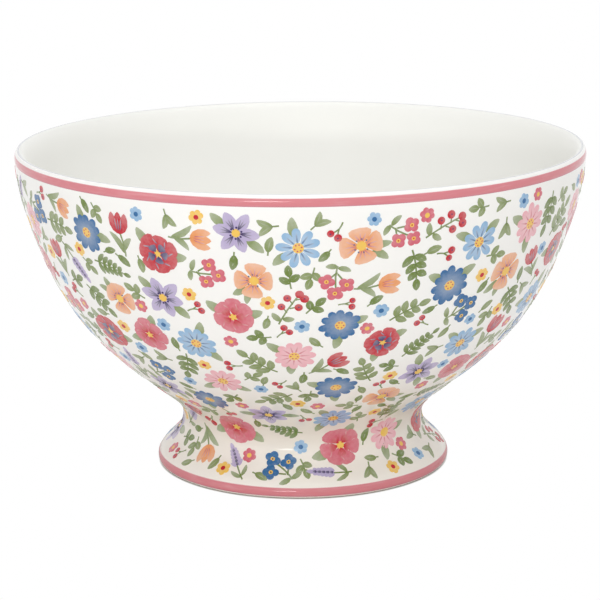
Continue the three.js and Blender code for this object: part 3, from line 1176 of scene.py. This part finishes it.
class Layout:
    """Scatters the motifs over the wall so that none touches another."""

    def __init__(self, press, top, bottom, settings):
        self.press = press
        self.top = top
        self.bottom = bottom
        self.gap = settings.gap
        self.dice = random.Random(settings.seed)
        self.taken = {}
        self.placed = {}
        self.widest = max(point.x for point in press.wall.points)

    def cell(self, point):
        return tuple(math.floor(side / CELL) for side in point)

    def discs(self, motif, spot):
        """Discs that a motif would cover at a spot, or nothing where one would cross the print's edge."""
        covered = []
        for x, y, radius in motif.discs:
            point, _, _, down = self.press.under(spot, x, y)
            reach = radius * spot.scale * MM
            if not self.top + reach < down < self.bottom - reach:
                return None
            covered.append((point, reach))
        return covered

    def free(self, covered):
        for point, reach in covered:
            sides = [(side - 1, side, side + 1) for side in self.cell(point)]
            for cell in product(*sides):
                for other, other_reach in self.taken.get(cell, ()):
                    if (point - other).length < reach + other_reach + self.gap:
                        return False
        return True

    def find(self, motif):
        """A free spot for a motif, or nothing after many throws."""
        alike = self.placed.setdefault(motif, [])
        for _ in range(DARTS):
            spot = Spot(
                self.dice.uniform(self.top, self.bottom), self.dice.uniform(BACK, BACK + FULL_TURN),
                self.dice.uniform(0, FULL_TURN), self.dice.uniform(LEAST_SCALE, MOST_SCALE))
            point = self.press.under(spot, 0, 0)[0]
            if self.dice.random() > math.hypot(point.x, point.y) / self.widest:
                continue
            if any((point - other).length < motif.apart * MM for other in alike):
                continue
            covered = self.discs(motif, spot)
            if covered is None or not self.free(covered):
                continue
            for place, reach in covered:
                self.taken.setdefault(self.cell(place), []).append((place, reach))
            alike.append(point)
            return spot
        return None

    def spots(self):
        """Every motif that found a place, with its spot."""
        found = []
        for tier in TIERS:
            for _ in range(tier.turns):
                finds = [(motif, self.find(motif)) for motif in tier.motifs]
                finds = [(motif, spot) for motif, spot in finds if spot]
                if not finds:
                    break
                found += finds
        return found


# Operators
class TEA_BOWL_OT_turn_clay(bpy.types.Operator):
    """Turn the clay bowl, the clay foot and the slip between them"""

    bl_idname = "tea_bowl.turn_clay"
    bl_label = "Turn clay"

    def execute(self, context):
        shape = context.scene.tea_bowl_shape
        glaze = context.scene.tea_bowl_glaze
        line = BowlSection(shape)
        marks = line.marks
        clay = clay_finish("fired clay", glaze.clay, glaze, shape)
        bowl = line.points[:marks["seat"] + 1] + [at(0, shape.seat_height)]
        add_piece("clay_bowl", turned(bowl, False, CLAY_STEPS), clay, "clay", "bowl_body")
        foot = line.points[marks["foot_top"]:marks["hollow_top"] + 1]
        add_piece("clay_foot", turned(foot, True, CLAY_STEPS), clay, "clay", "pedestal_foot")
        washer = [
            at(shape.hollow_radius, shape.foot_top), at(shape.clay_waist, shape.foot_top),
            at(shape.clay_waist, shape.seat_height), at(shape.hollow_radius, shape.seat_height)]
        slip = clay_finish("luting slip", glaze.slip, glaze, shape)
        add_piece("slip_ring", turned(washer, True, CLAY_STEPS), slip, "slip", "slip_joint")
        return {"FINISHED"}


class TEA_BOWL_OT_pour_glaze(bpy.types.Operator):
    """Coat the inside, the outside and the hollow of the foot with white glaze"""

    bl_idname = "tea_bowl.pour_glaze"
    bl_label = "Pour glaze"

    def execute(self, context):
        shape = context.scene.tea_bowl_shape
        glaze = context.scene.tea_bowl_glaze
        glossy = glaze_finish("white glaze", glaze.white, GLOSSY, OUTSIDE_WARMTH, glaze, shape)
        # The inside glaze takes the darker inside tint, a painted shade
        satin = glaze_finish("inside glaze", glaze.inside, SATIN, INSIDE_WARMTH, glaze, shape)
        line = BowlSection(shape)
        marks = line.marks
        dry_outside, dry_inside = line.dry_marks(shape.dry_edge)

        def coat(start, end):
            return line.coated(shape.glaze_coat, start, end) + line.coated(0.0, start, end)[::-1]

        inside = coat(0, marks["crest"])
        add_piece("glazed_inside", turned(inside, False), satin, "white_glaze", "inner_glaze")
        outside = coat(marks["crest"], dry_outside)
        add_piece("glazed_outside", turned(outside, True), glossy, "white_glaze", "outer_glaze")
        underside = coat(dry_inside, marks["ceiling"])
        middle = len(underside) // 2
        underside = underside[middle:] + underside[:middle]
        add_piece("glazed_hollow", turned(underside, False), glossy, "white_glaze", "underside_glaze")
        return {"FINISHED"}


def glazed_wall(shape):
    """Face of the outside glaze, from the crest of the lip down to the ring."""
    line = BowlSection(shape)
    return Section(line.coated(shape.glaze_coat, line.marks["crest"], line.marks["ring_outer"]))


# How flat an enamel line is across, and the share of its thickness by which it reaches into the glaze
FLATNESS = 4
BITE = 0.3


class TEA_BOWL_OT_line_bands(bpy.types.Operator):
    """Draw the enamel lines under the lip and round the foot"""

    bl_idname = "tea_bowl.line_bands"
    bl_label = "Line bands"

    def execute(self, context):
        bands = context.scene.tea_bowl_bands
        wall = glazed_wall(context.scene.tea_bowl_shape)
        enamel = enamel_finish(bands, context.scene.tea_bowl_glaze)
        for name, top, bottom, node in (
            ("rim_line", bands.rim_top, bands.rim_bottom, "rim_band"),
            ("foot_line", bands.foot_top, bands.foot_bottom, "foot_band"),
        ):
            start, end = wall.length_at(top), wall.length_at(bottom)
            face, back = [], []
            for step in range(BAND_STEPS + 1):
                share = step / BAND_STEPS
                point, way = wall.at_length(start + (end - start) * share)
                crown = 1 - (2 * share - 1) ** FLATNESS
                face.append(point + way * (bands.crown * crown))
                back.append(point - way * (bands.crown * BITE))
            add_piece(name, turned(face + back[::-1], True), enamel, "pink_enamel", node)
        return {"FINISHED"}


class TEA_BOWL_OT_lay_print(bpy.types.Operator):
    """Lay the flower print over the glaze between the two enamel lines"""

    bl_idname = "tea_bowl.lay_print"
    bl_label = "Lay print"

    def execute(self, context):
        settings = context.scene.tea_bowl_print
        bands = context.scene.tea_bowl_bands
        wall = glazed_wall(context.scene.tea_bowl_shape)
        press = Press(wall, settings)
        top = wall.length_at(bands.rim_bottom) + settings.margin
        bottom = wall.length_at(bands.foot_top) - settings.margin
        layout = Layout(press, top, bottom, settings)
        for motif, spot in layout.spots():
            motif.draw(Hand(press, spot, layout.dice), *motif.inks)
        for ink in INKS:
            paint = ink_finish(ink + " ink", getattr(settings, ink), context.scene.tea_bowl_glaze)
            add_piece("print_" + ink, press.mesh_of(ink), paint, ink + "_print")
        return {"FINISHED"}


# Lamps, all aimed at the bowl: the place and the sides of each, and whether the glaze mirrors it
Lamp = namedtuple("Lamp", "name place sides mirrored")
LAMPS = (
    Lamp("overhead", Vector((0.15, -0.1, 1.2)), (1.3, 1.1), True),
    Lamp("front", Vector((-0.36, -1.55, 0.19)), (0.5, 0.05), True),
    Lamp("low", Vector((-0.35, -1.5, 0.14)), (1.6, 0.24), False),
    Lamp("left", Vector((-1.2, -0.8, 0.2)), (0.9, 0.36), True),
    Lamp("fill", Vector((-0.02, -1.5, 0.66)), (1.3, 0.5), False),
    Lamp("back", Vector((0.3, 1.5, 0.3)), (1.6, 0.6), False),
)
LAMP_AIM = Vector((0, 0, 0.05))
CAMERA_NEAR = 0.01

# Share of the shadow's reach from which it fades, and how much of it the glaze mirrors
FOOT_SHADE = 0.985
MIRROR_SHADE = 0.7


class TEA_BOWL_OT_set_stage(bpy.types.Operator):
    """Set up the floor, the light and the camera"""

    bl_idname = "tea_bowl.set_stage"
    bl_label = "Set stage"

    def execute(self, context):
        stage = context.scene.tea_bowl_stage
        self.lay_floor(stage)
        self.light_world(stage)
        for lamp in LAMPS:
            self.hang_lamp(lamp, getattr(stage, lamp.name + "_power"))
        self.place_camera(stage)
        context.scene.view_settings.view_transform = "Standard"
        return {"FINISHED"}

    @staticmethod
    def rays(shader):
        """1 for what the camera sees straight or through glass, and 1 for what it sees mirrored."""
        straight, through, mirrored = [shader.node("ShaderNodeLightPath", None, None, name) for name in (
            "Is Camera Ray", "Is Transmission Ray", "Is Glossy Ray")]
        return straight.math("MAXIMUM", straight, through), mirrored

    def lay_floor(self, stage):
        mesh = bmesh.new()
        bmesh.ops.create_grid(mesh, x_segments=1, y_segments=1, size=stage.floor_size / 2)
        data = bpy.data.meshes.new("floor")
        mesh.to_mesh(data)
        mesh.free()
        floor = bpy.data.objects.new("floor", data)
        bpy.context.collection.objects.link(floor)

        material = bpy.data.materials.new("pale floor")
        material.use_nodes = True
        tree = material.node_tree
        tree.nodes.clear()
        shader = Shader(tree)
        matt = shader.node("ShaderNodeBsdfDiffuse", None, {"Color": stage.floor})
        white = shader.node("ShaderNodeEmission", None, {"Color": (1, 1, 1), "Strength": 1.0})
        reach = shader.reach(shader.place())
        direct, mirrored = self.rays(shader)
        clear = direct * shader.ease(reach, FOOT_SHADE * stage.shadow_reach, stage.shadow_reach)
        far = shader.ease(reach, stage.shadow_reach, stage.mirror_reach)
        clear = clear + mirrored * (1 - MIRROR_SHADE * (1 - far))
        lit = shader.node("ShaderNodeMixShader", None, {0: clear, 1: matt, 2: white})
        output = tree.nodes.new("ShaderNodeOutputMaterial")
        shader.feed(output.inputs["Surface"], lit)
        data.materials.append(material)

    def light_world(self, stage):
        world = bpy.data.worlds.new("studio")
        bpy.context.scene.world = world
        world.use_nodes = True
        shader = Shader(world.node_tree)
        background = world.node_tree.nodes["Background"]
        direct, mirrored = self.rays(shader)
        seen = direct.math("MAXIMUM", direct, mirrored)
        shader.feed(background.inputs["Color"], (1.0, 1.0, 1.0))
        shader.feed(background.inputs["Strength"], seen + (1 - seen) * stage.ambient)

    @staticmethod
    def hang_lamp(lamp, watts):
        light = bpy.data.lights.new(lamp.name, "AREA")
        light.shape = "RECTANGLE"
        light.size, light.size_y = lamp.sides
        light.energy = watts
        holder = bpy.data.objects.new(lamp.name, light)
        holder.location = lamp.place
        holder.visible_glossy = lamp.mirrored
        holder.rotation_euler = (LAMP_AIM - lamp.place).to_track_quat("-Z", "Y").to_euler()
        bpy.context.collection.objects.link(holder)

    @staticmethod
    def place_camera(stage):
        camera = bpy.data.cameras.new("camera")
        camera.lens = stage.lens
        camera.clip_start = CAMERA_NEAR
        holder = bpy.data.objects.new("camera", camera)
        place = Vector((0.0, -stage.camera_back, stage.camera_height))
        look = (Vector((stage.aim_side, 0.0, stage.aim_height)) - place).to_track_quat("-Z", "Y")
        holder.matrix_world = (
            Matrix.Translation(place) @ look.to_matrix().to_4x4() @ Matrix.Rotation(stage.roll, 4, "Z"))
        bpy.context.collection.objects.link(holder)
        bpy.context.scene.camera = holder


GROUPS = {
    "tea_bowl_shape": TeaBowlShape,
    "tea_bowl_glaze": TeaBowlGlaze,
    "tea_bowl_bands": TeaBowlBands,
    "tea_bowl_print": TeaBowlPrint,
    "tea_bowl_stage": TeaBowlStage,
}
OPERATORS = (
    TEA_BOWL_OT_turn_clay,
    TEA_BOWL_OT_pour_glaze,
    TEA_BOWL_OT_line_bands,
    TEA_BOWL_OT_lay_print,
    TEA_BOWL_OT_set_stage,
)


class TEA_BOWL_PT_sidebar(bpy.types.Panel):
    """Settings and steps of the tea bowl"""

    bl_idname = "TEA_BOWL_PT_sidebar"
    bl_label = "Tea Bowl"
    bl_space_type = "VIEW_3D"
    bl_region_type = "UI"
    bl_category = "Tea Bowl"

    def draw(self, context):
        for (group, kind), operator in zip(GROUPS.items(), OPERATORS):
            box = self.layout.box()
            for name in kind.__annotations__:
                box.prop(getattr(context.scene, group), name)
            box.operator(operator.bl_idname)


CLASSES = (*GROUPS.values(), *OPERATORS, TEA_BOWL_PT_sidebar)


def register():
    for kind in CLASSES:
        bpy.utils.register_class(kind)
    for name, kind in GROUPS.items():
        setattr(bpy.types.Scene, name, PointerProperty(type=kind))


def unregister():
    for name in GROUPS:
        delattr(bpy.types.Scene, name)
    for kind in reversed(CLASSES):
        bpy.utils.unregister_class(kind)


def main():
    register()
    bpy.ops.tea_bowl.turn_clay()
    bpy.ops.tea_bowl.pour_glaze()
    bpy.ops.tea_bowl.line_bands()
    bpy.ops.tea_bowl.lay_print()
    bpy.ops.tea_bowl.set_stage()
    bpy.context.view_layer.update()


if __name__ == "__main__":
    main()
